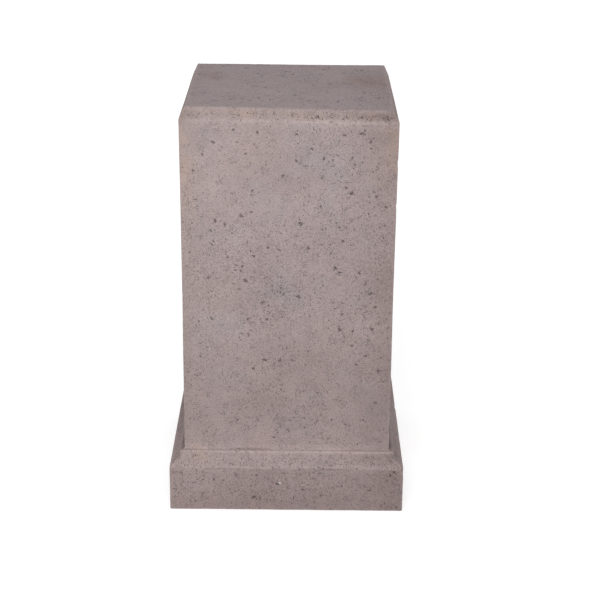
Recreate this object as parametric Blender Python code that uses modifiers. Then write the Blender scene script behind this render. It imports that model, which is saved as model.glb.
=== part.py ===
"""Column base block: one square block of cast stone, with a splayed plinth below and a chamfered flat top.

Lengths are in metres. The origin is the centre of the underside, +Z is up and -Y is the front.
"""

from math import copysign

import bmesh
import bpy
from mathutils import Matrix

# Overall sizes
PLINTH_WIDTH = 0.400
PLINTH_DEPTH = 0.400
TOTAL_HEIGHT = 0.700

# Mouldings of the plinth, from the floor up
PLINTH_FACE_HEIGHT = 0.0805
SPLAY_RISE = 0.0135
SPLAY_RUN = 0.0165
FILLET_HEIGHT = 0.0105
FILLET_LEDGE = 0.008

# Chamfer round the flat top
CHAMFER_RISE = 0.020
CHAMFER_RUN = 0.009

# Rounding of the arrises, which a mould never leaves sharp
ARRIS_WIDTH = 0.003
FILLET_ARRIS_WIDTH = 0.0018
ARRIS_SEGMENTS = 3

# Cast stone, tinted a pinkish grey
STONE_COLOUR = (0.28, 0.22, 0.215, 1.0)
STONE_ROUGHNESS = 0.85
SMOOTH_ANGLE = 0.6

PART_NAME = "column_base_block"
COLLECTION_NAME = "column base block"
BEVEL_WEIGHT = "bevel_weight_edge"


def clear_scene():
    for obj in list(bpy.data.objects):
        bpy.data.objects.remove(obj, do_unlink=True)


def stone_material():
    material = bpy.data.materials.new("cast_stone")
    material.use_nodes = True
    shader = material.node_tree.nodes["Principled BSDF"]
    shader.inputs["Base Color"].default_value = STONE_COLOUR
    shader.inputs["Roughness"].default_value = STONE_ROUGHNESS
    shader.inputs["Metallic"].default_value = 0.0
    return material


def section_rings():
    """(inset from the plinth's side, height, bevel width) of the profile's corners, from the plinth's arris up."""
    splay_top = PLINTH_FACE_HEIGHT + SPLAY_RISE
    ledge = splay_top + FILLET_HEIGHT
    shaft_inset = SPLAY_RUN + FILLET_LEDGE
    return [
        (0.0, PLINTH_FACE_HEIGHT, ARRIS_WIDTH),
        (SPLAY_RUN, splay_top, FILLET_ARRIS_WIDTH),
        (SPLAY_RUN, ledge, FILLET_ARRIS_WIDTH),
        (shaft_inset, ledge, FILLET_ARRIS_WIDTH),
        (shaft_inset, TOTAL_HEIGHT - CHAMFER_RISE, ARRIS_WIDTH),
        (shaft_inset + CHAMFER_RUN, TOTAL_HEIGHT, ARRIS_WIDTH),
    ]


def place_ring(verts, inset, height):
    """Moves a ring of four corners to its inset from the plinth's sides and to its height."""
    half_width = PLINTH_WIDTH / 2 - inset
    half_depth = PLINTH_DEPTH / 2 - inset
    for vert in verts:
        vert.co = (copysign(half_width, vert.co.x), copysign(half_depth, vert.co.y), height)


def weigh_edges(edges, weights, width):
    """Marks the edges with the share of the widest bevel that they take."""
    for edge in edges:
        edge[weights] = width / ARRIS_WIDTH


def block_mesh():
    """The plinth's box, with its top face drawn up through every corner of the profile."""
    mesh = bpy.data.meshes.new(PART_NAME)
    bm = bmesh.new()
    weights = bm.edges.layers.float.new(BEVEL_WEIGHT)
    rings = section_rings()
    box = Matrix.Diagonal((PLINTH_WIDTH, PLINTH_DEPTH, PLINTH_FACE_HEIGHT, 1.0))
    lift = Matrix.Translation((0.0, 0.0, PLINTH_FACE_HEIGHT / 2))
    bmesh.ops.create_cube(bm, size=1.0, matrix=lift @ box)
    weigh_edges(bm.edges, weights, ARRIS_WIDTH)
    top = max(bm.faces, key=lambda face: face.calc_center_median().z)
    for (_, _, lower_width), (inset, height, width) in zip(rings, rings[1:]):
        made = bmesh.ops.extrude_face_region(bm, geom=[top])["geom"]
        ring = [item for item in made if isinstance(item, bmesh.types.BMVert)]
        bmesh.ops.delete(bm, geom=[top], context="FACES_ONLY")
        place_ring(ring, inset, height)
        top = next(item for item in made if isinstance(item, bmesh.types.BMFace))
        risers = {edge for vert in ring for edge in vert.link_edges} - set(top.edges)
        weigh_edges(risers, weights, min(width, lower_width))
        weigh_edges(top.edges, weights, width)
    bmesh.ops.recalc_face_normals(bm, faces=bm.faces)
    bm.to_mesh(mesh)
    bm.free()
    return mesh


def round_arrises(block):
    bevel = block.modifiers.new("arrises", "BEVEL")
    bevel.width = ARRIS_WIDTH
    bevel.segments = ARRIS_SEGMENTS
    bevel.limit_method = "WEIGHT"
    bevel.miter_outer = "MITER_SHARP"
    bevel.use_clamp_overlap = True


def build():
    clear_scene()
    collection = bpy.data.collections.new(COLLECTION_NAME)
    bpy.context.scene.collection.children.link(collection)
    block = bpy.data.objects.new(PART_NAME, block_mesh())
    collection.objects.link(block)
    block.data.materials.append(stone_material())
    round_arrises(block)
    block.data.shade_smooth()
    block.data.set_sharp_from_angle(angle=SMOOTH_ANGLE)
    return block


build()
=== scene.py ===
"""Looks of the column base block: cast stone with air pits and worn arrises, on a pale floor.

Lengths are in metres, in the frame's axes: +Z is up, -Y is the front, and the origin is the centre of the
underside. One fine mesh stands for the block's node.
"""

from math import cos, pi, radians, sin

import bmesh
import bpy
import numpy as np
from mathutils import Matrix, Vector, noise
from mathutils.geometry import delaunay_2d_cdt


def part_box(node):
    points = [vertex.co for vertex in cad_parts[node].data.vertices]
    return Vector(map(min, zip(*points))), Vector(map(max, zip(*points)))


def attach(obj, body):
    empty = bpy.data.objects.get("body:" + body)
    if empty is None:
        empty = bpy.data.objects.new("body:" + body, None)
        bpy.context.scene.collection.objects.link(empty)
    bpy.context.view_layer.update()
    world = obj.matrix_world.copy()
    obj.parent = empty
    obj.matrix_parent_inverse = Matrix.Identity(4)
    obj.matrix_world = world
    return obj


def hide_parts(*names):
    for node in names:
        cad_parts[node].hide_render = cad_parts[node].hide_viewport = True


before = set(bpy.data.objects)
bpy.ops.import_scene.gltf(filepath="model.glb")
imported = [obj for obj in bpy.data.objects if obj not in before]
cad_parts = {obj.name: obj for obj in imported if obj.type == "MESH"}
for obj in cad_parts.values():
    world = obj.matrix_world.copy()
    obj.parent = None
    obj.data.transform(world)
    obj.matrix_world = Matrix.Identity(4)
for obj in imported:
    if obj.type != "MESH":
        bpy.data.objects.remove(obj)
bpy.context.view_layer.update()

NODE = "column_base_block"
PIECE = "weathered_block"
SEED = 418
MM = 0.001

# Mouldings of the block, from the floor up
PLINTH_FACE_HEIGHT = 0.0805
SPLAY_RISE = 0.0135
SPLAY_RUN = 0.0165
FILLET_HEIGHT = 0.0105
FILLET_LEDGE = 0.008
CHAMFER_RISE = 0.020
CHAMFER_RUN = 0.009

# How far from its corner each rounded arris starts, the height above which the vertical edges
# have the shaft's cut, and how much wear changes the cuts
ARRIS_CUT = 0.0022
TOP_ARRIS_CUT = 0.0016
FILLET_FOOT_CUT = 0.0015
LEDGE_ARRIS_CUT = 0.0034
COVE_CUT = 0.0026
SHAFT_EDGE_CUT = 0.0018
EDGE_CUT_HEIGHT = 0.102
ARRIS_WEAR = 0.45
FINE_ARRIS_WEAR = 0.25
WEAR_SCALE = 55.0

# Rows of points round each kind of corner, as shares of its cut
ROW_STEPS = {
    ARRIS_CUT: (-2.0, -1.0, -0.5, 0.0, 0.5, 1.0, 2.0),
    COVE_CUT: (-1.0, -0.6, -0.3, -0.1, 0.1, 0.3, 0.6, 1.0),
}
FINE_ROW_STEPS = (-1.0, -0.5, 0.0, 0.5, 1.0)

# The same across a side, inward from its vertical edges, as shares of ARRIS_CUT
EDGE_STEPS = (0.0, 0.5, 1.0, 2.0)

# The profile's corner that is the ledge's inner one, and its runs that hold random pits, from the floor up
INNER_CORNER = 5
PITTED_RUNS = (1, 2, 5, 6)

# Spacing of the mesh's points on the plain faces, along the arrises and round a pit, and how far the sides'
# patches reach round onto the flat top and the underside
FACE_STEP = 0.009
ARRIS_STEP = 0.0026
PIT_STEP = 0.0011
RIM = 0.007

# Slow waves of the cast faces, the inward bow of the shaft's sides, and the roughness of worn arrises
WAVE_DEPTH = 0.00035
WAVE_SCALE = 9.0
RIPPLE_DEPTH = 0.00010
RIPPLE_SCALE = 45.0
SHAFT_BOW = 0.0012
ARRIS_ROUGHNESS = 0.00045
ARRIS_ROUGHNESS_SCALE = 190.0

# Each use of the mesh's noise has a layer of its own, shifted by so much a layer
LAYER_SHIFT = (7.31, 3.17, 5.53)
WEAR_LAYER = 1
EDGE_WEAR_LAYER = 2
PIT_LAYER = 3
WAVE_LAYER = 4
RIPPLE_LAYER = 5
ROUGHNESS_LAYER = 6
CHIP_LAYER = 7
DIRT_AND_SHADOW_LAYER = 8
SIDE_SHADE_LAYER = 9

# Pits that show best on the front of the shaft and on its chamfer: x, z, width and height in millimetres, and
# tilt in degrees
SHAFT_PITS = (
    (-120, 644, 8, 6.5, 0), (-88, 665, 5, 5, 20), (-50, 661, 5, 5.5, 0), (-138, 624, 5, 8, 10),
    (-153, 598, 5.5, 4, 0), (-69, 626, 6, 4, 30), (-9, 590, 8, 7, 0), (-15, 625, 6, 3.5, 25),
    (-39, 572, 5, 4, 10), (-58, 565, 5, 5, 0), (-60, 558, 4, 4, 0), (-59, 529, 4.5, 4, 20),
    (-77, 523, 7, 7, 0), (-119, 513, 8, 6.5, 15), (-103, 508, 4, 7, 0), (-127, 497, 6, 3.5, -15),
    (-33, 469, 4.5, 8, 0), (-125, 473, 4, 6, 0), (116, 662, 8, 5.5, 10), (88, 659, 7, 4, 5),
    (130, 648, 5.5, 7.5, -20), (12, 659, 4.5, 5, 0), (56, 619, 5, 7, 0), (28, 607, 9, 3, -3),
    (102, 621, 5.5, 5, 20), (93, 572, 6, 6, 30), (102, 562, 7, 6, 0), (143, 557, 5, 6.5, 0),
    (52, 540, 6, 6, 0), (59, 542, 5.5, 3.5, 15), (158, 539, 7, 5, -20), (20, 510, 9, 8.5, 25),
    (55, 500, 6, 3, 10), (90, 481, 7, 6.5, 0), (33, 468, 8, 5, 15), (156, 508, 4, 4, 0),
    (-100, 451, 5.5, 5, 0), (-75, 436, 6, 6, 0), (-132, 415, 5, 7, 15), (-70, 411, 10, 8, -15),
    (-11, 399, 4.5, 5, 0), (-7, 388, 5, 8, 10), (17, 384, 8, 6, -20), (-42, 373, 5, 5, 0),
    (-127, 343, 3.5, 10, 40), (-34, 343, 5, 5.5, 0), (-80, 310, 4, 5.5, -20), (-65, 315, 4.5, 7, 20),
    (-38, 270, 9, 6, -10), (-29, 266, 7, 4.5, 10), (-13, 269, 6, 5, 0), (-57, 254, 6, 6, -20),
    (79, 434, 8, 5, -15), (118, 425, 5, 6, 20), (129, 407, 6, 5, 0), (137, 390, 8, 6, 20),
    (76, 374, 6, 4, 20), (91, 353, 7, 4, 5), (87, 326, 7.5, 8, 0), (109, 323, 7, 4.5, 25),
    (141, 327, 8, 6, 0), (108, 297, 7.5, 5, 35), (114, 301, 6, 3.5, 15), (132, 279, 8, 3.5, 22),
    (158, 275, 6, 3, -40), (154, 252, 10, 4, -4), (162, 232, 8, 3, -30), (150, 193, 6, 4.5, 0),
    (-84, 159, 4.5, 4, 0), (5, 159, 5, 3.5, 0), (0, 141, 5, 5, 0), (-159, 687, 4, 4, 0),
    (47, 687, 4, 4, 30), (68, 687, 5, 3, 0), (92, 687, 4, 3, 0), (115, 688, 6, 4, 0),
    (124, 686, 5, 4, 20), (149, 688, 4, 4, 0), (157, 685, 5, 4, -20),
)

# The same for the front of the plinth
PLINTH_PITS = (
    (-86, 66, 4.5, 4, 0), (-51, 67, 6, 5, 15), (-5, 70, 4.5, 4, 0), (-124, 58, 5, 5, 0),
    (-143, 57, 6, 4, 0), (-15, 50, 9, 7, 0), (29, 40, 9, 4, -5), (44, 47, 6, 3.5, 35),
    (94, 48, 7, 5, -25), (-55, 25, 6, 7, 0), (184, 75, 6, 6, 0), (178, 68, 5, 4, 20),
    (-191, 71, 4, 5, 20), (-182, 72, 3, 3, 0), (179, 90, 4, 5, 0), (147, 88, 3, 5, -20),
)

# And for the flat top: x, y, width, depth and tilt
TOP_PITS = (
    (-57, 88, 7, 9, 0), (-13, 69, 9, 8, 10), (31, 52, 6, 9, 0), (-50, -68, 11, 7, 5),
    (-76, -104, 9, 6, -5), (-36, -84, 8, 6, 0), (-17, -53, 7, 6, 0), (69, 8, 6, 7, 0),
    (116, -107, 10, 6, 0), (-8, 104, 7, 9, 0), (67, 138, 7, 9, 0), (-140, -62, 9, 6, 0),
    (-48, 74, 8, 7, 0), (5, 84, 6, 8, 0), (-132, 48, 9, 7, 0), (-30, -108, 9, 5, 5),
    (146, -88, 9, 6, 0), (-72, 4, 6, 6, 0), (118, -86, 8, 5, 0), (58, 126, 8, 8, 0),
)

# Random pits: how many, how many of them are small, their widths, heights as shares of the width, and tilts
PITS_PER_SQUARE_METRE = 1500
SMALL_PIT_SHARE = 0.75
FRONT_SMALL_PIT_SHARE = 0.97
SMALL_PIT_WIDTH = (0.0016, 0.0030)
LARGE_PIT_WIDTH = (0.0032, 0.0060)
PIT_FLATNESS = (0.6, 1.0)
PIT_TILT = (-0.6, 0.6)

# All pits: the size of the listed ones, a pit's depth for its size and how that varies, the waves round its
# outline, the points round a ring, and the room that each keeps
LISTED_PIT_SCALE = 0.85
PIT_DEPTH_SHARE = 0.10
PIT_DEPTH_SPREAD = (0.6, 1.2)
PIT_WAVES = (2, 3, 5)
PIT_WAVE_SIZE = 0.6
RING_POINTS = (6, 22)
PIT_CLEARANCE = 1.35

# The specks that crowd round a listed pit: how far past it, and how many
PIT_HALO = 1.3
HALO_SPECKS = 0.7

# A pit's rings from its rim inward: share of its width, and share of its depth
LARGE_PIT_RINGS = ((1.25, 0.0), (1.0, 0.15), (0.80, 0.70), (0.50, 0.95))
SMALL_PIT_RINGS = ((1.3, 0.0), (0.95, 0.2), (0.55, 0.85))

# How thick the random pits lie, and how far they stay from an arris
PIT_CLOUD_SCALE = 11.0
PIT_CHANCE = 0.55
PIT_CHANCE_SWING = 0.9
PIT_MARGIN = 0.011

# Reach of the wear along the arrises and of the dirt and painted shadow in the ledge's inner corner, and how
# noise breaks up that darkening away from the front
WORN_REACH = 0.0035
DIRT_AND_SHADOW_REACH = 0.0060
DIRT_AND_SHADOW_BREAK_SCALE = 20.0
DIRT_AND_SHADOW_BREAK = (-0.5, 0.2)

# The depth at which a pit's darkening, dirt and painted shade, is fullest, the height over which the
# waves fade towards the floor, and the slopes between which a surface becomes part of the top
PIT_DARKEST_DEPTH = 0.00075
FLOOR_CALM = 0.012
SKYWARD_SLOPES = (0.8, 1.0)

# Rounding of a cap's outline and of the rows' stations, merging distance inside a patch, welding distance of
# the patches, and the angle of a sharp edge
OUTLINE_DIGITS = 6
ROW_DIGITS = 7
MERGE_DISTANCE = 0.0000001
WELD_DISTANCE = 0.000002
SHARP_ANGLE = 38.0

# What the triangulation keeps: all triangles, or those inside its outline
ALL_TRIANGLES = 0
INSIDE_OUTLINE = 1

# Chips out of the arrises: centre, reach and bite in metres, and how uneven their faces are
CHIP_UNEVENNESS = 0.5
CHIP_SCALE = 260.0
CHIPS = (
    (-0.1835, -0.1835, 0.1045, 0.008, 0.0018),
    (-0.150, -0.1665, 0.700, 0.008, 0.0010),
    (0.1755, -0.1755, 0.612, 0.007, 0.0012),
    (0.1755, -0.1755, 0.540, 0.006, 0.0010),
    (0.200, -0.200, 0.072, 0.009, 0.0012),
    (0.200, 0.060, 0.080, 0.012, 0.0022),
    (-0.200, 0.110, 0.000, 0.011, 0.0018),
    (0.045, 0.1755, 0.680, 0.010, 0.0018),
    (-0.1755, 0.1755, 0.330, 0.009, 0.0020),
    (0.1755, 0.1755, 0.450, 0.008, 0.0016),
    (-0.1665, 0.030, 0.700, 0.008, 0.0012),
    (-0.090, 0.200, 0.080, 0.013, 0.0022),
)

# The front's chamfer isn't level: how much higher it lies at its left end, how far its upper arris slumps
# towards its right end, and how far down and back both fade
CHAMFER_TILT = 0.0015
ARRIS_SLUMP = 0.0036
TILT_DROP = 0.080
TILT_BACK = 0.170

# Soft tints on the front: x, z, half width and half height in millimetres, and strength
COOL_CLOUDS = (
    (0, 390, 80, 45, 0.55), (90, 610, 55, 60, 0.45), (40, 520, 60, 40, 0.35), (-60, 320, 45, 40, 0.40),
    (20, 200, 90, 45, 0.50), (60, 280, 60, 30, 0.35), (-90, 500, 40, 35, 0.25), (-150, 655, 20, 15, 0.35),
    (-60, 60, 70, 22, 0.45), (-70, 90, 70, 10, 0.40), (140, 190, 30, 30, 0.30),
)
WARM_CLOUDS = (
    (-172, 610, 22, 90, 1.20), (172, 620, 18, 70, 0.95), (-172, 450, 14, 80, 0.45), (150, 595, 25, 30, 0.45),
    (-120, 390, 28, 22, 0.40), (-172, 300, 10, 90, 0.40), (-150, 95, 30, 14, 0.90), (-60, 640, 40, 30, 0.25),
    (-60, 690, 160, 9, 1.15), (100, 690, 80, 9, 0.65), (-150, 130, 25, 25, 0.45), (160, 350, 16, 70, 0.25),
    (-176, 668, 16, 14, 0.90), (168, 668, 12, 20, 0.60),
)
SPECK_CLOUDS = (
    (95, 620, 60, 50, 0.8), (0, 385, 90, 50, 0.8), (60, 500, 60, 45, 0.6), (20, 190, 100, 45, 0.8),
    (186, 76, 14, 12, 1.2), (-60, 47, 70, 30, 0.6), (150, 480, 25, 60, 0.5), (-100, 450, 60, 50, 0.3),
    (-125, 650, 60, 45, -0.9), (-60, 600, 50, 40, -0.4), (130, 330, 40, 60, 0.3), (0, 37, 260, 45, 0.9),
    (0, 87, 260, 9, 1.2), (58, 689, 16, 4, 2.0), (92, 689, 8, 4, 1.8), (121, 689, 12, 5, 2.6),
    (152, 689, 9, 5, 2.6), (-30, 690, 120, 9, 0.7), (-103, 90, 18, 8, 0.8), (25, 88, 10, 5, 0.9),
    (75, 88, 10, 6, 0.9), (-50, 85, 20, 8, 0.6), (15, 46, 28, 6, 1.2), (-58, 68, 24, 8, 0.9),
)

# The same for broad tone, partly stains and partly painted light and shade: it darkens the stone, as painted
# shade towards the shaft's right edge and at the plinth's arris, and lightens it where its strength is below
# nothing, as painted light over the ledge, its inner corner, the splay and the shaft's foot
TONE_AND_PAINTED_LIGHT_CLOUDS = (
    (195, 350, 75, 420, 0.75), (185, 400, 40, 60, 0.25), (170, 192, 45, 50, 0.20), (0, 128, 320, 26, -0.16),
    (-105, 622, 45, 40, -0.35), (75, 622, 35, 40, -0.30), (-105, 333, 40, 45, -0.30),
    (-30, 515, 70, 40, -0.25), (-40, 405, 30, 35, 0.20), (25, 264, 70, 32, 0.35),
    (-40, 192, 40, 28, 0.30), (150, 192, 45, 40, 0.10),
    (-180, 690, 24, 12, 0.95), (170, 691, 75, 9, 0.95), (-50, 28, 50, 26, 0.20), (65, 22, 45, 20, 0.30),
    (0, 104, 300, 4, -0.40), (60, 105, 90, 4, -0.45), (0, 110, 300, 5, -0.75), (-40, 96, 200, 9, -0.35),
    (160, 97, 50, 5, 0.65), (0, 84, 320, 5, -1.15), (-90, 86, 150, 6, -0.35), (60, 676, 50, 7, -0.45),
    (-110, 695, 90, 6, 0.25), (155, 690, 30, 7, 0.45), (-20, 77, 60, 3, 0.40), (186, 280, 9, 100, 0.60),
    (165, 470, 25, 14, -0.30), (-120, 575, 25, 20, -0.35), (-95, 490, 30, 30, -0.25), (5, 645, 35, 12, -0.30),
    (-140, 87, 30, 8, -0.30), (-160, 48, 40, 22, -0.30),
    (0, 674, 220, 8, -0.15), (150, 654, 30, 16, 0.60), (-110, 550, 50, 25, -0.25), (60, 548, 70, 25, -0.30),
    (-180, 300, 14, 170, 0.50), (180, 232, 14, 60, 0.25), (-180, 152, 15, 30, 0.30), (190, 44, 45, 60, 0.40),
    (-140, 70, 60, 16, -0.20), (-150, 48, 50, 20, -0.20), (0, 6, 300, 16, 0.25), (150, 413, 50, 20, 0.20),
    (30, 697, 110, 4, 0.25), (145, 515, 40, 35, -0.30), (138, 330, 32, 28, -0.35), (155, 228, 22, 12, -0.40),
    (-90, 452, 20, 25, -0.30), (-90, 367, 35, 12, 0.35), (5, 297, 45, 14, 0.20), (45, 227, 35, 14, 0.30),
    (-100, 122, 50, 10, -0.35), (-175, 676, 12, 8, 0.40), (20, 48, 60, 14, -0.30), (60, 79.6, 75, 1.6, 0.80),
)

# Thin dark lines in the corner over the ledge and under the plinth's arris, and painted highlights along the
# ledge and along the chamfer's lower arris
DARK_LINES = (
    (-57, 105.3, 25, 0.8, 1.0), (121, 105.3, 13, 0.8, 0.8),
    (-110, 78.8, 34, 1.1, 0.8), (74, 78.7, 40, 1.3, 0.7),
)
PAINTED_HIGHLIGHT_LINES = (
    (-60, 102.0, 160, 1.7, 0.25), (150, 103.2, 70, 2.0, 0.25), (30, 105.4, 80, 1.6, 0.40),
    (-140, 105.8, 45, 1.6, 0.50), (0, 679.5, 240, 1.3, 0.18),
)

# The pale grain beside a pit of the plinth's front: its centre, its radius, and the share of that which is
# wholly pale
PALE_GRAIN = (-0.0116, -0.200, 0.052)
PALE_GRAIN_RADIUS = 0.0030
PALE_GRAIN_CORE = 0.3

# On the top: clusters of specks, brown stains, and tone that is partly painted shade, darker towards its
# right edge, by x, y, half width and half depth in millimetres, and strength
TOP_SPECKS = (
    (-139, 66, 22, 34, 0.9), (-60, 84, 20, 30, 1.0), (-12, 84, 16, 32, 0.9), (-140, -62, 12, 12, 0.8),
    (-58, -98, 58, 24, 1.0), (30, 75, 16, 50, 0.6), (125, 28, 24, 42, 0.6), (114, -101, 14, 14, 1.0),
    (148, -80, 18, 18, 1.0), (62, -112, 50, 12, 0.5), (58, 128, 18, 14, 0.7),
)
TOP_STAINS = (
    (125, 30, 34, 44, 1.0), (-140, 70, 22, 36, 0.6), (60, -20, 60, 40, 0.2), (165, -20, 16, 120, 0.7),
)
TOP_TONE_AND_PAINTED_SHADE = (
    (168, 0, 50, 240, 0.35), (-172, 0, 20, 240, 0.15),
    (20, 150, 150, 30, 0.06), (-50, -60, 90, 60, -0.08),
)

# Painted shade on the other sides' chamfers and splays, by x and z
SIDE_PAINTED_SHADE = (
    (-172, 690, 9, 14, 0.9), (172, 690, 9, 14, 0.9), (-194, 92, 12, 12, 0.6), (192, 95, 12, 12, 0.2),
)

# How far round the arrises the front's tints reach, and how strong the other sides' own shade is
FRONT_DEPTH = 0.030
FRONT_FADE = 0.090
SIDE_SHADE = 0.35
SIDE_SHADE_SCALE = 6.0

# Colours of the stone, as linear shares of red, green and blue
PINK = (0.298, 0.241, 0.237, 1.0)
COOL_GREY = (0.277, 0.241, 0.241, 1.0)
TAN = (0.325, 0.254, 0.228, 1.0)
# Worn arrises: lighter wear, partly a painted highlight
WORN_AND_HIGHLIGHT = (0.400, 0.335, 0.325, 1.0)
# Darker towards the floor, and on the plinth's face: dirt and painted shade
LOW_DIRT_AND_PAINTED_SHADE = (0.90, 0.875, 0.865, 1.0)
FASCIA_DIRT_AND_PAINTED_SHADE = (0.955, 0.945, 0.945, 1.0)
# The top a little darker and cooler: painted shade
TOP_PAINTED_SHADE = (0.955, 0.945, 0.965, 1.0)
WARM_HUE = (1.03, 1.0, 0.965, 1.0)
COOL_HUE = (0.97, 1.0, 1.035, 1.0)
# Lighter tone and painted light, and darker tone and painted shade, between which the broad tone mixes
LIGHT_TONE_AND_PAINTED_LIGHT = (1.28, 1.28, 1.28, 1.0)
DARK_TONE_AND_PAINTED_SHADE = (0.75, 0.71, 0.70, 1.0)
STAIN_TINT = (0.84, 0.77, 0.72, 1.0)
# Painted highlights along the ledge and the chamfer's lower arris
PAINTED_HIGHLIGHT_TINT = (1.45, 1.45, 1.44, 1.0)
PALE_GRAIN_COLOUR = (0.44, 0.43, 0.43, 1.0)
SPECK_TINT = (0.28, 0.28, 0.29, 1.0)
# Pits darkened: dirt and painted shade in the hollows
PIT_DIRT_AND_SHADE_TINT = (0.46, 0.44, 0.46, 1.0)
# Dirt and painted shadow in the ledge's inner corner, and the thin dark lines
DIRT_AND_SHADOW_TINT = (0.50, 0.47, 0.49, 1.0)

# Noises of the stone: scale, detail, roughness and, for the last, distortion
CLOUD_NOISE = (11.0, 5.0, 0.65)
PATCH_NOISE = (22.0, 4.0, 0.65)
MOTTLE_NOISE = (60.0, 5.0, 0.7)
GRAIN_NOISE = (520.0, 2.0, 0.8)
HUE_NOISE = (430.0, 2.0, 0.8)
CROWD_NOISE = (18.0, 4.0, 0.65)
BRIGHT_NOISE = (110.0, 3.0, 0.7)
RAGGED_NOISE = (330.0, 3.0, 0.7)
HOLLOW_NOISE = (420.0, 2.0, 0.7)
ROUGH_NOISE = (30.0, 3.0, 0.6)
LUMP_NOISE = (140.0, 3.0, 0.6)
WORM_BREAK_NOISE = (55.0, 2.0)
WORM_NOISE = (130.0, 2.0, 0.5, 0.6)

# How each is read: from its low to its high value it steps from 0 to 1, or from the third value to the fourth
CLOUD_STEPS = (0.38, 0.66, 0.0, 0.7)
PATCH_STEPS = (0.36, 0.60, 0.15, 1.0)
MOTTLE_STEPS = (0.30, 0.70, 0.93, 1.045)
GRAIN_STEPS = (0.25, 0.75, 0.77, 1.18)
HUE_STEPS = (0.30, 0.70)
CROWD_STEPS = (0.36, 0.66)
BRIGHT_STEPS = (0.36, 0.60)
RAGGED_STEPS = (0.36, 0.60, 0.35, 1.0)
HOLLOW_STEPS = (0.32, 0.68, -0.60, 0.45)
ROUGH_STEPS = (0.3, 0.7, 0.78, 0.92)
WORM_BREAK_STEPS = (0.52, 0.62, 0.0, 0.7)
WORM_STEPS = (0.004, 0.022, 1.0, 0.0)
PIT_EDGE_STEPS = (0.30, 0.85)

# Clouds: the top's even share of grey, what the cool spots add, and where the stone is wholly grey
TOP_CLOUDS = (0.5, 0.5, 0.5, 1.0)
COOL_SHARE = 0.4
GREYEST = 1.2

# Heights over which the darker foot and the plinth's darker face fade, both dirt and painted shade, and the
# strength at which the broad tone, with its painted light and shade, is fullest
LOW_REACH = 0.45
FASCIA_EDGE = (0.069, 0.089)
FULL_SHADE = 1.5

# Kinds of speck: cells per metre, size as a share of a cell, and how likely a cell holds one where the stone
# is calm and where it is most crowded
PEPPER = (600.0, 0.52, 0.30, 0.90)
RISING_DASHES = (330.0, 0.42, 0.05, 0.75)
FALLING_DASHES = (310.0, 0.42, 0.05, 0.75)
BROAD_SPECKS = (170.0, 0.28, 0.06, 0.80)
TOP_BLOTS = (85.0, 0.32, 0.04, 0.90)
MOST_CROWDED = 2.6
TOP_CROWDING = 0.35
PEPPER_STRENGTH = 0.85
SPECK_STRENGTH = 0.92

# Lean and turn of the drawn-out specks in degrees, and how much longer than wide they are
LEVEL_LEAN = (8, 10)
RISING_LEAN = (-48, 65)
FALLING_LEAN = (58, -40)
FLECK_STRETCH = 2.2

# Specks: how far noise pushes their outlines, as a share of their spacing, how fine that noise is, how softly
# they set in, their strengths and sizes, and the share of one that is wholly dark
FLECK_WARP = 1.1
FLECK_WARP_FINENESS = 1.6
FLECK_ONSET = 0.05
FLECK_STRENGTHS = (0.35, 1.0)
FLECK_SIZES = (0.55, 1.2)
FLECK_CORE = 0.45

# Strength of the top's mottle and of the worn arrises' lighter colour, partly a painted highlight, and shine
# and relief of the stone
TOP_MOTTLE = 0.5
BRIGHT_STRENGTH = 0.30
STONE_SHINE = 0.3
GRAIN_RELIEF = 0.6
LUMP_RELIEF = 0.8
BUMP_STRENGTH = 0.5
TOP_BUMP_STRENGTH = 0.2
BUMP_DISTANCE = 0.0006

# Floor and air
FLOOR_RADIUS = 30.0
FLOOR_POINTS = 96
FLOOR_TONE = 0.60
FLOOR_GLOW = 0.52
FLOOR_ROUGHNESS = 0.9
FLOOR_SHINE = 0.1
AIR_TONE = 0.50

# Suns: name, azimuth, elevation, strength and spread, with angles in degrees. Softboxes: name, place, target,
# size and power
SUNS = (("key", 1.0, 42.0, 1.55, 30.0), ("back_fill", 160.0, 25.0, 0.50, 50.0))
SOFTBOXES = (("front_softbox", (-0.50, -1.35, 1.45), (0.0, 0.0, 0.45), 0.7, 6.0),)

# Camera, fitted to the picture's measured corners
CAMERA_TARGET = (0.0203, 0.0, 0.3122)
CAMERA_DISTANCE = 2.672
CAMERA_ELEVATION = 20.66
CAMERA_ROLL = 0.58
LENS = 90.25
SENSOR = 36.0


def spaced(low, high, step):
    """Even stations from low to high, at most a step apart."""
    return np.linspace(low, high, max(2, int(np.ceil((high - low) / step)) + 1))


def field(points, scale, layer):
    """Smooth noise, about -1 to 1, at each point. Each layer is another pattern."""
    shift = Vector([layer * step for step in LAYER_SHIFT])
    return np.array([noise.noise(Vector(p) * scale + shift) for p in points])


def smooth(values, low, high):
    """0 below low, 1 above high and a smooth step between."""
    share = np.clip((values - low) / (high - low), 0.0, 1.0)
    return share * share * (3.0 - 2.0 * share)


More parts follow.
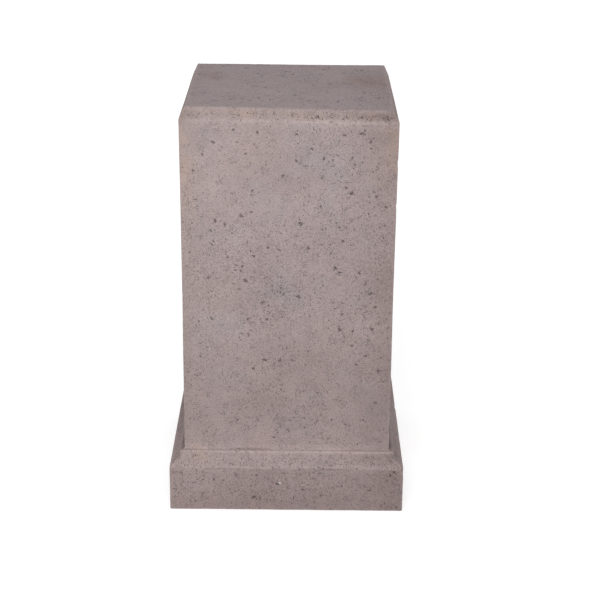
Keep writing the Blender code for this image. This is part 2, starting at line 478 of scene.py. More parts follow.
class Profile:
    """The block's outline from the rim of its underside to that of its flat top, with rounded corners."""

    def __init__(self, height):
        splay_top = PLINTH_FACE_HEIGHT + SPLAY_RISE
        ledge = splay_top + FILLET_HEIGHT
        shaft = SPLAY_RUN + FILLET_LEDGE
        chamfer = shaft + CHAMFER_RUN
        rows = (
            (RIM, 0.0, 0.0, 0.0),
            (0.0, 0.0, ARRIS_CUT, ARRIS_WEAR),
            (0.0, PLINTH_FACE_HEIGHT, ARRIS_CUT, ARRIS_WEAR),
            (SPLAY_RUN, splay_top, FILLET_FOOT_CUT, FINE_ARRIS_WEAR),
            (SPLAY_RUN, ledge, LEDGE_ARRIS_CUT, FINE_ARRIS_WEAR),
            (shaft, ledge, COVE_CUT, 0.0),
            (shaft, height - CHAMFER_RISE, ARRIS_CUT, ARRIS_WEAR),
            (chamfer, height, TOP_ARRIS_CUT, ARRIS_WEAR),
            (chamfer + RIM, height, 0.0, 0.0),
        )
        table = np.array(rows)
        self.corners = table[:, :2]
        self.cuts = table[:, 2]
        self.wears = table[:, 3]
        runs = np.diff(self.corners, axis=0)
        self.lengths = np.linalg.norm(runs, axis=1)
        self.directions = runs / self.lengths[:, None]
        self.stations = np.concatenate(([0.0], np.cumsum(self.lengths)))

    def point(self, along, wear=None):
        """(inset, height) at each distance along the outline. wear changes a corner's cut, as a share."""
        run = np.clip(np.searchsorted(self.stations, along, side="right") - 1, 0, len(self.lengths) - 1)
        places = self.corners[run] + self.directions[run] * (along - self.stations[run])[:, None]
        wear = np.zeros(len(along)) if wear is None else wear
        for corner in range(1, len(self.cuts) - 1):
            cut = self.cuts[corner]
            offset = (along - self.stations[corner]) / cut
            near = np.abs(offset) <= 1.0
            worn_cut = cut * (1.0 + self.wears[corner] * wear[near])[:, None]
            before = self.corners[corner] - self.directions[corner - 1] * worn_cut
            after = self.corners[corner] + self.directions[corner] * worn_cut
            share = (0.5 + 0.5 * offset[near])[:, None]
            places[near] = (
                (1.0 - share) ** 2 * before
                + 2.0 * share * (1.0 - share) * self.corners[corner]
                + share**2 * after
            )
        return places

    def nearest_corner(self, along):
        inner = self.stations[1:-1]
        return 1 + np.argmin(np.abs(along[:, None] - inner[None, :]), axis=1)


class Side:
    """One of the four sides: u runs across it from corner to corner, and s runs up the profile."""

    def __init__(self, profile, half_width, half_depth, turns):
        self.profile = profile
        self.half = half_width if turns % 2 == 0 else half_depth
        self.out = half_depth if turns % 2 == 0 else half_width
        self.turn = Matrix.Rotation(turns * pi / 2, 3, "Z")
        self.reach = self.half

    def turned(self, points):
        return points @ np.array(self.turn).T

    def sharp(self, u, along):
        """Points of the block without rounding, where its wear is read."""
        places = self.profile.point(along)
        x = u / self.reach * (self.half - places[:, 0])
        return self.turned(np.stack([x, places[:, 0] - self.out, places[:, 1]], 1))

    def point(self, u, along):
        """Points of the rounded and worn block."""
        corner = self.profile.nearest_corner(along)
        at_corner = self.sharp(u, self.profile.stations[corner])
        places = self.profile.point(along, field(at_corner, WEAR_SCALE, WEAR_LAYER))
        at_edge = self.sharp(np.sign(u) * self.reach, along)
        cut = np.interp(places[:, 1], (PLINTH_FACE_HEIGHT, EDGE_CUT_HEIGHT), (ARRIS_CUT, SHAFT_EDGE_CUT))
        cut = cut * (1.0 + ARRIS_WEAR * field(at_edge, WEAR_SCALE, EDGE_WEAR_LAYER))
        half = self.half - places[:, 0]
        straight = self.reach - ARRIS_CUT
        x = u / straight * (half - cut)
        y = places[:, 0] - self.out
        share = np.clip(0.5 * (np.abs(u) - straight) / ARRIS_CUT, 0.0, 0.5)
        bent = share > 0.0
        across = half - cut * (1.0 - share) ** 2
        back = cut * share**2
        x = np.where(bent, np.sign(u) * across, x)
        y = np.where(bent, y + back, y)
        return self.turned(np.stack([x, y, places[:, 1]], 1))


def side_lines(side):
    """The stations of a side's points: dense and wide ones, across and up."""
    profile = side.profile
    band = side.reach - ARRIS_CUT * np.array(EDGE_STEPS)
    across_band = np.concatenate((-band, band[::-1]))
    inner = band[-1]
    across_dense = spaced(-inner, inner, ARRIS_STEP)[1:-1]
    across_wide = spaced(-inner, inner, FACE_STEP)[1:-1]
    rows = [0.0, profile.stations[-1]]
    for station, cut in zip(profile.stations[1:-1], profile.cuts[1:-1]):
        rows += [station + cut * step for step in ROW_STEPS.get(cut, FINE_ROW_STEPS)]
    up_band = np.unique(np.round(rows, ROW_DIGITS))
    gaps = list(zip(up_band, up_band[1:]))
    up_dense = np.concatenate([spaced(a, b, ARRIS_STEP)[1:-1] for a, b in gaps])
    up_wide = np.concatenate([spaced(a, b, FACE_STEP)[1:-1] for a, b in gaps])
    return across_band, across_dense, across_wide, up_band, up_dense, up_wide


def grid(across, up):
    u, s = np.meshgrid(across, up)
    return np.stack([u.ravel(), s.ravel()], 1)


class Pit:
    """One air pit in a patch's own plane, with an uneven outline."""

    def __init__(self, place, width, height, tilt, draw):
        self.place = np.array(place)
        self.half = np.array([width, height]) / 2
        self.tilt = tilt
        self.large = max(width, height) > SMALL_PIT_WIDTH[1]
        self.depth = PIT_DEPTH_SHARE * (width + height) * draw.uniform(*PIT_DEPTH_SPREAD)
        self.waves = [(k, draw.uniform(0.0, PIT_WAVE_SIZE / k), draw.uniform(0.0, 2 * pi)) for k in PIT_WAVES]
        self.radius = max(width, height) / 2 * (1.0 + 0.5 * sum(size for _, size, _ in self.waves))

    def rings(self):
        """The pit's points and the depth at each of them."""
        shares = LARGE_PIT_RINGS if self.large else SMALL_PIT_RINGS
        around = 2 * pi * self.half.mean() / PIT_STEP
        points, depths = [self.place], [self.depth]
        for index, (share, drop) in enumerate(shares):
            count = int(np.clip(around * min(share, 1.0), *RING_POINTS))
            turn = 2 * pi * (np.arange(count) + 0.5 * (index % 2)) / count
            reach = share * (1.0 + sum(size * np.cos(k * turn + phase) for k, size, phase in self.waves))
            x = reach * self.half[0] * np.cos(turn)
            y = reach * self.half[1] * np.sin(turn)
            c, s = cos(self.tilt), sin(self.tilt)
            points += list(np.stack([c * x - s * y, s * x + c * y], 1) + self.place)
            depths += [drop * self.depth] * count
        return np.array(points), np.array(depths)


class Patch:
    """Points in a plane, which become triangles: those of the plain surface, and pits that push them away."""

    def __init__(self, points, outline=None):
        self.points = points
        self.outline = outline
        self.pits = []

    def add_pit(self, pit):
        """Adds the pit unless another is too near."""
        for other in self.pits:
            if np.linalg.norm(other.place - pit.place) < PIT_CLEARANCE * (other.radius + pit.radius):
                return
        self.pits.append(pit)

    def solved(self):
        """All points, the pits' depth at each and the triangles between them."""
        points = self.points
        for pit in self.pits:
            far = np.linalg.norm(points - pit.place, axis=1) > PIT_CLEARANCE * pit.radius
            points = points[far]
        depths = np.zeros(len(points))
        for pit in self.pits:
            ring_points, ring_depths = pit.rings()
            points = np.concatenate((points, ring_points))
            depths = np.concatenate((depths, ring_depths))
        edges = []
        kept = ALL_TRIANGLES
        if self.outline is not None:
            start = len(points)
            points = np.concatenate((points, self.outline))
            depths = np.concatenate((depths, np.zeros(len(self.outline))))
            count = len(self.outline)
            edges = [(start + i, start + (i + 1) % count) for i in range(count)]
            kept = INSIDE_OUTLINE
        found = delaunay_2d_cdt([Vector(p) for p in points], edges, [], kept, MERGE_DISTANCE, True)
        source = np.array([ids[0] for ids in found[3]])
        triangles = source[np.array(found[2])]
        return points, depths, triangles


def place_on_side(side, x, z):
    """The patch's place of a side's point (x, z), and how much wider the patch is there than the block."""
    profile = side.profile
    along = np.interp(z, profile.corners[1:-1, 1], profile.stations[1:-1])
    inset = profile.point(np.array([along]))[0, 0]
    stretch = side.reach / (side.half - inset)
    return (x * stretch, along), stretch


def listed_pits(side, rows, draw):
    """The pits that a list names on a side."""
    pits = []
    for x, z, width, tall, tilt in rows:
        place, stretch = place_on_side(side, x * MM, z * MM)
        size = LISTED_PIT_SCALE * MM
        pits.append(Pit(place, width * size * stretch, tall * size, radians(tilt), draw))
    return pits


def random_pit(place, small_share, draw):
    small = draw.random() < small_share
    width = draw.uniform(*(SMALL_PIT_WIDTH if small else LARGE_PIT_WIDTH))
    return Pit(place, width, width * draw.uniform(*PIT_FLATNESS), draw.uniform(*PIT_TILT), draw)


def scatter(patch, low, high, place_in_space, small_share, draw):
    """Random pits between two corners of a patch, thicker where the block's pit cloud is dense."""
    area = (high[0] - low[0]) * (high[1] - low[1])
    for _ in range(int(area * PITS_PER_SQUARE_METRE)):
        place = (draw.uniform(low[0], high[0]), draw.uniform(low[1], high[1]))
        cloud = field(place_in_space(place), PIT_CLOUD_SCALE, PIT_LAYER)[0]
        if draw.random() < PIT_CHANCE + PIT_CHANCE_SWING * cloud:
            patch.add_pit(random_pit(place, small_share, draw))


def side_patch(side, front, draw):
    """The points and the pits of one side."""
    profile = side.profile
    across_band, across_dense, across_wide, up_band, up_dense, up_wide = side_lines(side)
    across = np.concatenate((across_band, across_dense))
    parts = (grid(across, up_band), grid(across_band, up_dense), grid(across_wide, up_wide))
    patch = Patch(np.concatenate(parts))
    if front:
        for pit in listed_pits(side, SHAFT_PITS + PLINTH_PITS, draw):
            patch.add_pit(pit)
    edge = side.reach - PIT_MARGIN
    small_share = FRONT_SMALL_PIT_SHARE if front else SMALL_PIT_SHARE
    for run in PITTED_RUNS:
        low = (-edge, profile.stations[run] + PIT_MARGIN)
        high = (edge, profile.stations[run + 1] - PIT_MARGIN)
        scatter(patch, low, high, lambda p: side.sharp(np.array([p[0]]), np.array([p[1]])), small_share, draw)
    return patch


def wear_masks(side, points):
    """How near each point of a side is to a worn arris and to the ledge's inner corner, from 0 to 1."""
    profile = side.profile
    # Nearness to the arrises: wear, which the colour also lightens as a painted highlight
    worn = np.exp(-(((side.reach - np.abs(points[:, 0])) / WORN_REACH) ** 2))
    # The inner corner's mask: dirt and painted shadow there
    dirt_and_shadow = np.zeros(len(points))
    for corner in range(1, len(profile.cuts) - 1):
        gap = np.abs(points[:, 1] - profile.stations[corner])
        if corner == INNER_CORNER:
            dirt_and_shadow = np.exp(-((gap / DIRT_AND_SHADOW_REACH) ** 2))
        else:
            worn = np.maximum(worn, np.exp(-((gap / WORN_REACH) ** 2)))
    return worn * (1.0 - dirt_and_shadow), dirt_and_shadow


def cap_patch(sides, along, listed, draw):
    """The flat top or the underside: the plane inside the sides' last row of points."""
    rows = []
    for side in sides:
        across_band, across_dense = side_lines(side)[:2]
        across = np.sort(np.concatenate((across_band, across_dense)))[:-1]
        rows.append(side.point(across, np.full(len(across), along)))
    outline = np.round(np.concatenate(rows), OUTLINE_DIGITS)
    level = outline[0, 2]
    reach = np.abs(outline[:, :2]).max(axis=0)
    inner = reach - FACE_STEP / 2
    across, back = spaced(-inner[0], inner[0], FACE_STEP), spaced(-inner[1], inner[1], FACE_STEP)
    patch = Patch(grid(across, back), outline[:, :2])
    for x, y, width, deep, tilt in listed:
        size = LISTED_PIT_SCALE * MM
        patch.add_pit(Pit((x * MM, y * MM), width * size, deep * size, radians(tilt), draw))
    edge = reach - PIT_MARGIN
    scatter(patch, -edge, edge, lambda p: np.array([(p[0], p[1], level)]), SMALL_PIT_SHARE, draw)
    return patch, level


def joined_mesh(pieces):
    """One closed mesh of (points in space, pit depths, wear, grime and painted shadow, triangles) per patch.
    """
    offset = 0
    faces, columns = [], [[], [], [], []]
    for points, depths, worn, dirt_and_shadow, triangles in pieces:
        faces += (triangles + offset).tolist()
        for column, values in zip(columns, (points, depths, worn, dirt_and_shadow)):
            column.append(values)
        offset += len(points)
    points, depths, worn, dirt_and_shadow = (np.concatenate(column) for column in columns)
    mesh = bpy.data.meshes.new(PIECE)
    mesh.from_pydata(points.tolist(), [], faces)
    for name, values in (("depth", depths), ("worn", worn), ("dirt_and_shadow", dirt_and_shadow)):
        mesh.attributes.new(name, "FLOAT", "POINT").data.foreach_set("value", values.astype(np.float32))
    bm = bmesh.new()
    bm.from_mesh(mesh)
    bmesh.ops.remove_doubles(bm, verts=bm.verts, dist=WELD_DISTANCE)
    loose = [vert for vert in bm.verts if not vert.link_faces]
    bmesh.ops.delete(bm, geom=loose, context="VERTS")
    bmesh.ops.recalc_face_normals(bm, faces=bm.faces)
    open_edges = sum(1 for edge in bm.edges if not edge.is_manifold)
    if open_edges:
        raise RuntimeError(f"the block's mesh has {open_edges} open edges")
    bm.to_mesh(mesh)
    bm.free()
    return mesh


def read(mesh, name):
    values = np.zeros(len(mesh.vertices), np.float32)
    mesh.attributes[name].data.foreach_get("value", values)
    return values.astype(float)


def write(mesh, name, values):
    found = mesh.attributes.get(name) or mesh.attributes.new(name, "FLOAT", "POINT")
    found.data.foreach_set("value", np.asarray(values, np.float32))


def blobs(points, rows):
    """The sum of soft spots, each (across, up, half width, half height, strength), in millimetres."""
    total = np.zeros(len(points))
    for across, up, wide, tall, strength in rows:
        gap = ((points[:, 0] / MM - across) / wide) ** 2 + ((points[:, 1] / MM - up) / tall) ** 2
        total += strength * np.exp(-gap)
    return total


def shape_surface(mesh, half_width, half_depth, height):
    """Shapes the cast surface, with its bow, waves, wear, chips and pits, and writes the material's masks."""
    count = len(mesh.vertices)
    points = np.zeros(count * 3, np.float32)
    mesh.vertices.foreach_get("co", points)
    points = points.reshape(-1, 3).astype(float)
    normals = np.zeros(count * 3, np.float32)
    mesh.vertex_normals.foreach_get("vector", normals)
    normals = normals.reshape(-1, 3).astype(float)
    depth, worn, dirt_and_shadow = read(mesh, "depth"), read(mesh, "worn"), read(mesh, "dirt_and_shadow")
    foot = PLINTH_FACE_HEIGHT + SPLAY_RISE + FILLET_HEIGHT
    top = height - CHAMFER_RISE
    rise = np.clip((points[:, 2] - foot) / (top - foot), 0.0, 1.0)
    bow = SHAFT_BOW * np.sin(pi * rise)
    off_floor = smooth(points[:, 2], 0.0, FLOOR_CALM)
    ripples = RIPPLE_DEPTH * field(points, RIPPLE_SCALE, RIPPLE_LAYER)
    waves = WAVE_DEPTH * field(points, WAVE_SCALE, WAVE_LAYER) + ripples
    rough = ARRIS_ROUGHNESS * worn * np.abs(field(points, ARRIS_ROUGHNESS_SCALE, ROUGHNESS_LAYER))
    shift = off_floor * (waves - rough) - depth
    for x, y, z, reach, bite in CHIPS:
        gap = np.linalg.norm(points - np.array([x, y, z]), axis=1) / reach
        near = gap < 1.0
        uneven = 1.0 + CHIP_UNEVENNESS * field(points[near], CHIP_SCALE, CHIP_LAYER)
        shift[near] -= bite * (1.0 - gap[near] ** 2) * uneven
        worn[near] = np.maximum(worn[near], 1.0 - gap[near])
    moved = points + normals * shift[:, None]
    moved[:, :2] *= (1.0 - bow / half_width)[:, None]
    rightward = points[:, 0] / half_width
    near_front = 1.0 - smooth(points[:, 1] + half_depth, 0.0, TILT_BACK)
    tilted = smooth(points[:, 2], top - TILT_DROP, top) * near_front
    slumped = smooth(points[:, 2], top, height) * near_front
    moved[:, 2] -= CHAMFER_TILT * tilted * rightward + ARRIS_SLUMP * slumped * (0.5 + 0.5 * rightward)
    moved[:, 2] = np.clip(moved[:, 2], 0.0, None)
    mesh.vertices.foreach_set("co", moved.astype(np.float32).ravel())
    skyward = smooth(normals[:, 2], *SKYWARD_SLOPES) * (points[:, 2] > top)
    on_front = points[:, 1] < -np.abs(points[:, 0])
    behind = np.clip(points[:, 1] + half_depth - FRONT_DEPTH, 0.0, None)
    front = np.exp(-((behind / FRONT_FADE) ** 2)) * (1.0 - skyward)
    in_picture = points[:, (0, 2)]
    broken = ~on_front * smooth(field(points, DIRT_AND_SHADOW_BREAK_SCALE, DIRT_AND_SHADOW_LAYER), *DIRT_AND_SHADOW_BREAK)
    # Broad tone on the front and the top: partly stains and random tone, partly painted light and shade
    shade = front * blobs(in_picture, TONE_AND_PAINTED_LIGHT_CLOUDS) + skyward * blobs(points[:, :2], TOP_TONE_AND_PAINTED_SHADE)
    shade += (1.0 - front) * (1.0 - skyward) * SIDE_SHADE * field(points, SIDE_SHADE_SCALE, SIDE_SHADE_LAYER)
    # Painted shade on the other sides' chamfers and splays
    shade += ~on_front * (1.0 - skyward) * blobs(in_picture, SIDE_PAINTED_SHADE)
    halos = [
        (x, z, PIT_HALO * wide, PIT_HALO * tall, HALO_SPECKS)
        for x, z, wide, tall, _ in SHAFT_PITS + PLINTH_PITS
    ]
    crowded = front * (blobs(in_picture, SPECK_CLOUDS) + blobs(in_picture, halos))
    # Pits' darkening: dirt and painted shade in the hollows
    write(mesh, "pit", np.clip(depth / PIT_DARKEST_DEPTH, 0.0, 1.0))
    write(mesh, "worn", worn)
    # Painted highlights along the ledge and the chamfer's lower arris
    write(mesh, "pale", on_front * blobs(in_picture, PAINTED_HIGHLIGHT_LINES))
    # Dirt and painted shadow in the ledge's inner corner off the front, and the thin dark lines
    write(mesh, "dirt_and_shadow", dirt_and_shadow * broken + on_front * blobs(in_picture, DARK_LINES))
    write(mesh, "skyward", skyward)
    write(mesh, "cool", front * blobs(in_picture, COOL_CLOUDS))
    write(mesh, "warm", front * blobs(in_picture, WARM_CLOUDS))
    write(mesh, "specks", crowded + skyward * blobs(points[:, :2], TOP_SPECKS))
    write(mesh, "shade", shade)
    write(mesh, "stain", skyward * blobs(points[:, :2], TOP_STAINS))
    mesh.update()


def block_mesh(half_width, half_depth, height):
    draw = np.random.default_rng(SEED)
    profile = Profile(height)
    sides = [Side(profile, half_width, half_depth, turns) for turns in range(4)]
    pieces = []
    for index, side in enumerate(sides):
        patch = side_patch(side, index == 0, draw)
        points, depths, triangles = patch.solved()
        worn, dirt_and_shadow = wear_masks(side, points)
        pieces.append((side.point(points[:, 0], points[:, 1]), depths, worn, dirt_and_shadow, triangles))
    for along, listed in ((profile.stations[-1], TOP_PITS), (0.0, ())):
        patch, level = cap_patch(sides, along, listed, draw)
        points, depths, triangles = patch.solved()
        plain = np.zeros(len(points))
        space = np.column_stack([points, np.full(len(points), level)])
        pieces.append((space, depths, plain, plain, triangles))
    mesh = joined_mesh(pieces)
    shape_surface(mesh, half_width, half_depth, height)
    mesh.shade_smooth()
    mesh.set_sharp_from_angle(angle=radians(SHARP_ANGLE))
    return mesh


class Shading:
    """Adds nodes to a node tree. An input is a number, a colour or another node's output."""

    def __init__(self, tree):
        self.tree = tree

    def add(self, kind, inputs, output=0, **settings):
        node = self.tree.nodes.new(kind)
        for name, value in settings.items():
            setattr(node, name, value)
        for key, value in inputs.items():
            if isinstance(value, bpy.types.NodeSocket):
                self.tree.links.new(value, node.inputs[key])
            else:
                node.inputs[key].default_value = value
        return node.outputs[output]

    def noise(self, place, scale, detail=2.0, roughness=0.5, distortion=0.0):
        values = {"Vector": place, "Scale": scale, "Detail": detail, "Roughness": roughness}
        return self.add("ShaderNodeTexNoise", values | {"Distortion": distortion})

    def steps(self, value, low, high, bottom=0.0, top=1.0):
        """A smooth step from bottom to top as the value goes from low to high."""
        values = {"Value": value, "From Min": low, "From Max": high, "To Min": bottom, "To Max": top}
        return self.add("ShaderNodeMapRange", values, interpolation_type="SMOOTHSTEP")

    def math(self, operation, a, b=0.0):
        return self.add("ShaderNodeMath", {0: a, 1: b}, operation=operation)

    def times(self, *values):
        product = values[0]
        for value in values[1:]:
            product = self.math("MULTIPLY", product, value)
        return product

    def mix(self, share, a, b):
        return self.add("ShaderNodeMix", {0: share, 6: a, 7: b}, 2, data_type="RGBA")

    def tint(self, share, colour, by):
        """The colour multiplied by another, for a share of it."""
        inputs = {0: share, 6: colour, 7: by}
        return self.add("ShaderNodeMix", inputs, 2, data_type="RGBA", blend_type="MULTIPLY")

    def attribute(self, name):
        return self.add("ShaderNodeAttribute", {}, "Fac", attribute_name=name)

    def drawn_out(self, place, lean, turn):
        """The place, shortened along one direction, in which round flecks come out as dashes."""
        stretch = (FLECK_STRETCH, 1.0, 1.0)
        values = {0: place, "Rotation": (0.0, radians(lean), radians(turn)), "Scale": stretch}
        return self.add("ShaderNodeMapping", values, vector_type="TEXTURE")

    def most(self, *values):
        found = values[0]
        for value in values[1:]:
            found = self.math("MAXIMUM", found, value)
        return found

    def flecks(self, place, scale, size, density):
        """Uneven grains: each cell of a Voronoi pattern may hold one, of its own size and strength."""
        push = self.noise(place, scale * FLECK_WARP_FINENESS, 1.0).node.outputs["Color"]
        reach = (FLECK_WARP / scale,) * 3
        warped = self.add("ShaderNodeVectorMath", {0: push, 1: reach, 2: place}, operation="MULTIPLY_ADD")
        gap = self.add("ShaderNodeTexVoronoi", {"Vector": warped, "Scale": scale})
        chance = self.add("ShaderNodeSeparateColor", {0: gap.node.outputs["Color"]})
        there = self.steps(self.math("SUBTRACT", density, chance), 0.0, FLECK_ONSET)
        strength = self.steps(chance.node.outputs["Green"], 0.0, 1.0, *FLECK_STRENGTHS)
        smallest, largest = FLECK_SIZES
        radius = self.steps(chance.node.outputs["Blue"], 0.0, 1.0, smallest * size, largest * size)
        inside = self.steps(self.math("DIVIDE", gap, radius), FLECK_CORE, 1.0, 1.0, 0.0)
        return self.times(there, strength, inside)

    def specks(self, place, crowding, kind):
        """One kind of speck, thicker where the stone is crowded with them."""
        scale, size, thin, thick = kind
        return self.flecks(place, scale, size, self.steps(crowding, 0.0, MOST_CROWDED, thin, thick))


def cloudy_stone(s, place, skyward):
    """Stone colour: pinkish and grey clouds, tan patches, painted light and shade, and the top's stains."""
    clouds = s.steps(s.noise(place, *CLOUD_NOISE), *CLOUD_STEPS)
    clouds = s.mix(skyward, clouds, TOP_CLOUDS)
    greyness = s.math("ADD", clouds, s.times(s.attribute("cool"), COOL_SHARE))
    colour = s.mix(s.steps(greyness, 0.0, GREYEST), PINK, COOL_GREY)
    patches = s.steps(s.noise(place, *PATCH_NOISE), *PATCH_STEPS)
    warmth = s.math("MINIMUM", s.times(s.attribute("warm"), patches), 1.0)
    colour = s.mix(warmth, colour, TAN)
    height = s.add("ShaderNodeSeparateXYZ", {0: place}, "Z")
    # Darker towards the floor and on the plinth's face: dirt and painted shade
    colour = s.tint(s.steps(height, 0.0, LOW_REACH, 1.0, 0.0), colour, LOW_DIRT_AND_PAINTED_SHADE)
    colour = s.tint(s.steps(height, *FASCIA_EDGE, 1.0, 0.0), colour, FASCIA_DIRT_AND_PAINTED_SHADE)
    # The top darker: painted shade
    colour = s.tint(skyward, colour, TOP_PAINTED_SHADE)
    # Broad tone, which lightens as painted light and darkens as painted shade, and in part as stains
    shade = s.steps(s.attribute("shade"), -FULL_SHADE, FULL_SHADE)
    colour = s.tint(1.0, colour, s.mix(shade, LIGHT_TONE_AND_PAINTED_LIGHT, DARK_TONE_AND_PAINTED_SHADE))
    return s.tint(s.times(s.attribute("stain"), patches), colour, STAIN_TINT)


def grained(s, place, skyward, grain, colour):
    """The colour with mottle, fine grain, and warmer and cooler grains."""
    mottle = s.steps(s.noise(place, *MOTTLE_NOISE), *MOTTLE_STEPS)
    colour = s.tint(s.steps(skyward, 0.0, 1.0, 1.0, TOP_MOTTLE), colour, mottle)
    colour = s.tint(1.0, colour, s.steps(grain, *GRAIN_STEPS))
    hue = s.steps(s.noise(place, *HUE_NOISE), *HUE_STEPS)
    return s.tint(1.0, colour, s.mix(hue, WARM_HUE, COOL_HUE))


def speck_cover(s, place, skyward):
    """How dark the specks make each place: pepper, dashes, broad specks, the top's blots and worm lines."""
    crowding = s.steps(s.noise(place, *CROWD_NOISE), *CROWD_STEPS)
    crowding = s.math("ADD", crowding, s.attribute("specks"))
    crowding = s.math("ADD", crowding, s.times(skyward, TOP_CROWDING))
    pepper = s.times(s.specks(place, crowding, PEPPER), PEPPER_STRENGTH)
    rising = s.specks(s.drawn_out(place, *RISING_LEAN), crowding, RISING_DASHES)
    falling = s.specks(s.drawn_out(place, *FALLING_LEAN), crowding, FALLING_DASHES)
    broad = s.specks(s.drawn_out(place, *LEVEL_LEAN), crowding, BROAD_SPECKS)
    blots = s.times(s.specks(place, crowding, TOP_BLOTS), skyward)
    worm = s.math("ABSOLUTE", s.math("SUBTRACT", s.noise(place, *WORM_NOISE), 0.5))
    worm_breaks = s.steps(s.noise(place, *WORM_BREAK_NOISE), *WORM_BREAK_STEPS)
    worm = s.times(s.steps(worm, *WORM_STEPS), worm_breaks)
    return s.times(s.most(pepper, rising, falling, broad, blots, worm), SPECK_STRENGTH)


def weathered(s, place, colour):
    """Colour with worn arrises, painted highlights, a pale grain, grime and painted shadow, and dark pits."""
    bright = s.steps(s.noise(place, *BRIGHT_NOISE), *BRIGHT_STEPS)
    # Worn arrises lightened: wear, partly a painted highlight
    colour = s.mix(s.times(s.attribute("worn"), bright, BRIGHT_STRENGTH), colour, WORN_AND_HIGHLIGHT)
    # Painted highlights along the ledge and the chamfer's lower arris
    colour = s.tint(s.attribute("pale"), colour, PAINTED_HIGHLIGHT_TINT)
    gap = s.add("ShaderNodeVectorMath", {0: place, 1: PALE_GRAIN}, "Value", operation="DISTANCE")
    pale = s.steps(gap, PALE_GRAIN_CORE * PALE_GRAIN_RADIUS, PALE_GRAIN_RADIUS, 1.0, 0.0)
    colour = s.mix(pale, colour, PALE_GRAIN_COLOUR)
    ragged = s.steps(s.noise(place, *RAGGED_NOISE), *RAGGED_STEPS)
    # Dirt and painted shadow in the ledge's inner corner, and the thin dark lines
    colour = s.tint(s.times(s.attribute("dirt_and_shadow"), ragged), colour, DIRT_AND_SHADOW_TINT)
    # Pits darkened: dirt and painted shade in the hollows
    uneven = s.steps(s.noise(place, *HOLLOW_NOISE), *HOLLOW_STEPS)
    hollow = s.math("ADD", s.attribute("pit"), uneven)
    return s.tint(s.steps(hollow, *PIT_EDGE_STEPS), colour, PIT_DIRT_AND_SHADE_TINT)


def stone_material():
    """Cast stone: clouds, patches, painted light and shade, fine grain, clustered dark specks, wear, grime,
    pits.
    """
    material = bpy.data.materials.new("cast_stone")
    material.use_nodes = True
    tree = material.node_tree
    shader = tree.nodes["Principled BSDF"]
    s = Shading(tree)
    place = s.add("ShaderNodeTexCoord", {}, "Object")
    skyward = s.attribute("skyward")
    grain = s.noise(place, *GRAIN_NOISE)
    specks = speck_cover(s, place, skyward)
    colour = grained(s, place, skyward, grain, cloudy_stone(s, place, skyward))
    colour = weathered(s, place, s.tint(specks, colour, SPECK_TINT))
    tree.links.new(colour, shader.inputs["Base Color"])

    rough = s.steps(s.noise(place, *ROUGH_NOISE), *ROUGH_STEPS)
    tree.links.new(rough, shader.inputs["Roughness"])
    shader.inputs["Specular IOR Level"].default_value = STONE_SHINE

    relief = s.math("SUBTRACT", s.times(grain, GRAIN_RELIEF), specks)
    relief = s.math("ADD", relief, s.times(s.noise(place, *LUMP_NOISE), LUMP_RELIEF))
    strength = s.steps(skyward, 0.0, 1.0, BUMP_STRENGTH, TOP_BUMP_STRENGTH)
    bump = s.add("ShaderNodeBump", {"Strength": strength, "Distance": BUMP_DISTANCE, "Height": relief})
    tree.links.new(bump, shader.inputs["Normal"])
    return material


def floor_material():
    """White light-table floor, which keeps the ground behind the block plain."""
    material = bpy.data.materials.new("pale_floor")
    material.use_nodes = True
    shader = material.node_tree.nodes["Principled BSDF"]
    shader.inputs["Base Color"].default_value = (FLOOR_TONE, FLOOR_TONE, FLOOR_TONE, 1.0)
    shader.inputs["Roughness"].default_value = FLOOR_ROUGHNESS
    shader.inputs["Specular IOR Level"].default_value = FLOOR_SHINE
    shader.inputs["Emission Color"].default_value = (1.0, 1.0, 1.0, 1.0)
    shader.inputs["Emission Strength"].default_value = FLOOR_GLOW
    return material


def add_floor():
    bpy.ops.mesh.primitive_circle_add(vertices=FLOOR_POINTS, radius=FLOOR_RADIUS, fill_type="NGON")
    floor = bpy.context.object
    floor.name = "floor"
    floor.data.materials.append(floor_material())


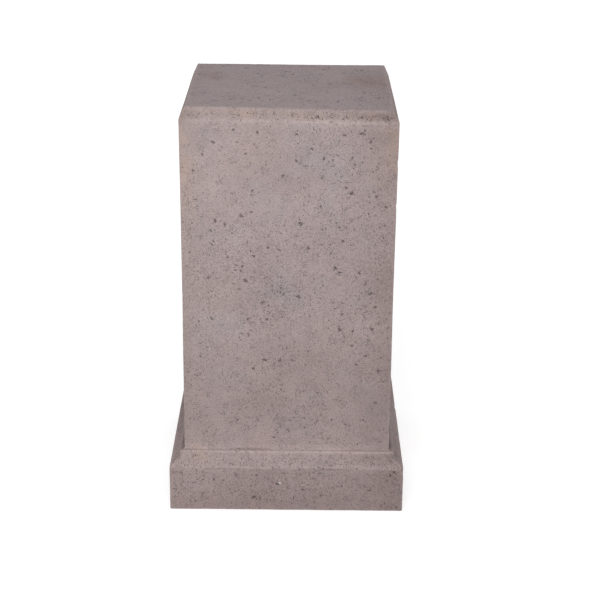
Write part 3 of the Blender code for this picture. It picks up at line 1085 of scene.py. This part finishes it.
def add_block(corner):
    """Adds the stone block, whose upper right back corner is given."""
    block = bpy.data.objects.new(PIECE, block_mesh(corner.x, corner.y, corner.z))
    bpy.context.scene.collection.objects.link(block)
    block.data.materials.append(stone_material())
    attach(block, "root")
    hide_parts(NODE)


def direction(azimuth, elevation):
    """The unit vector from the block towards an azimuth (0 is the front, 90 the right) and an elevation."""
    a, e = radians(azimuth), radians(elevation)
    return Vector((sin(a) * cos(e), -cos(a) * cos(e), sin(e)))


def add_sun(name, azimuth, elevation, strength, spread):
    light = bpy.data.lights.new(name, "SUN")
    light.energy = strength
    light.angle = radians(spread)
    lamp = bpy.data.objects.new(name, light)
    lamp.rotation_euler = direction(azimuth, elevation).to_track_quat("Z", "Y").to_euler()
    bpy.context.scene.collection.objects.link(lamp)


def add_softbox(name, place, target, size, power):
    light = bpy.data.lights.new(name, "AREA")
    light.shape = "SQUARE"
    light.size = size
    light.energy = power
    lamp = bpy.data.objects.new(name, light)
    lamp.location = place
    lamp.rotation_euler = (Vector(place) - Vector(target)).to_track_quat("Z", "Y").to_euler()
    bpy.context.scene.collection.objects.link(lamp)


def add_world():
    world = bpy.data.worlds.new("studio")
    world.use_nodes = True
    world.node_tree.nodes["Background"].inputs["Color"].default_value = (AIR_TONE, AIR_TONE, AIR_TONE, 1.0)
    bpy.context.scene.world = world


def add_camera():
    camera = bpy.data.objects.new("camera", bpy.data.cameras.new("camera"))
    bpy.context.scene.collection.objects.link(camera)
    back = direction(0.0, CAMERA_ELEVATION)
    camera.rotation_mode = "QUATERNION"
    roll = Matrix.Rotation(radians(CAMERA_ROLL), 3, "Z").to_quaternion()
    camera.rotation_quaternion = back.to_track_quat("Z", "Y") @ roll
    camera.location = Vector(CAMERA_TARGET) + back * CAMERA_DISTANCE
    camera.data.sensor_width = SENSOR
    camera.data.lens = LENS
    bpy.context.scene.camera = camera


add_block(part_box(NODE)[1])
add_floor()
add_world()
for sun in SUNS:
    add_sun(*sun)
for softbox in SOFTBOXES:
    add_softbox(*softbox)
add_camera()
bpy.context.scene.view_settings.view_transform = "Standard"
